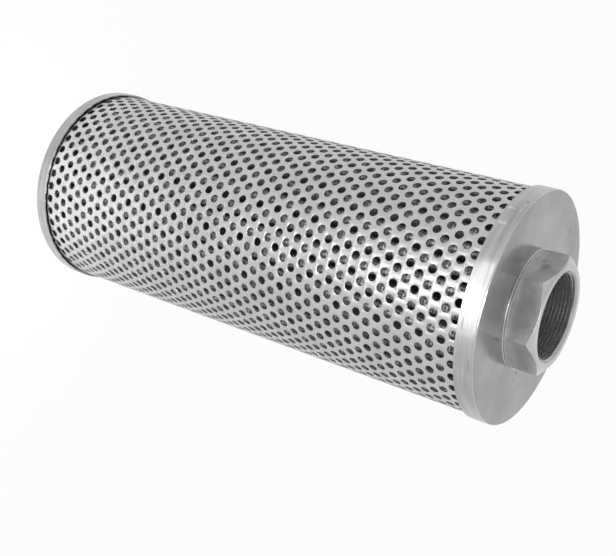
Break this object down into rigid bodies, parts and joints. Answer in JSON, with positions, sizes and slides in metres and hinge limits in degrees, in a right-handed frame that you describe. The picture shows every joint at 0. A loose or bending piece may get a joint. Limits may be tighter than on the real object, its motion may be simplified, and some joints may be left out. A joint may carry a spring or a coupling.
{
  "type": "return oil filter",
  "caption": "Hydraulic return oil filter: pleated pack in a perforated steel tube between a blind cap and a cap with an internally threaded hexagon.",
  "frame": {"origin": "centre of the blind cap's outer face, on the element's axis", "axes": "+Z along the element's axis towards the threaded hexagon; +X through one corner of the hexagon; the outer tube's seam is on +Y"},
  "size_m": [0.125, 0.125, 0.322],
  "materials": {
    "turned_steel": "turned, satin",
    "perforated_steel": "mill finish, satin",
    "wire_cloth": "woven wire, bright",
    "filter_medium": "matt fleece",
    "clip_steel": "rolled strip",
    "adhesive": "cured resin"
  },
  "bodies": {
    "root": {"threaded_end_cap": "turned_steel", "closed_end_cap": "turned_steel", "outer_perforated_tube": "perforated_steel", "inner_core_tube": "perforated_steel", "outer_support_mesh": "wire_cloth", "inner_support_mesh": "wire_cloth", "filter_medium": "filter_medium", "pleat_seam_clip": "clip_steel", "threaded_end_adhesive": "adhesive", "closed_end_adhesive": "adhesive"}
  },
  "joints": []
}
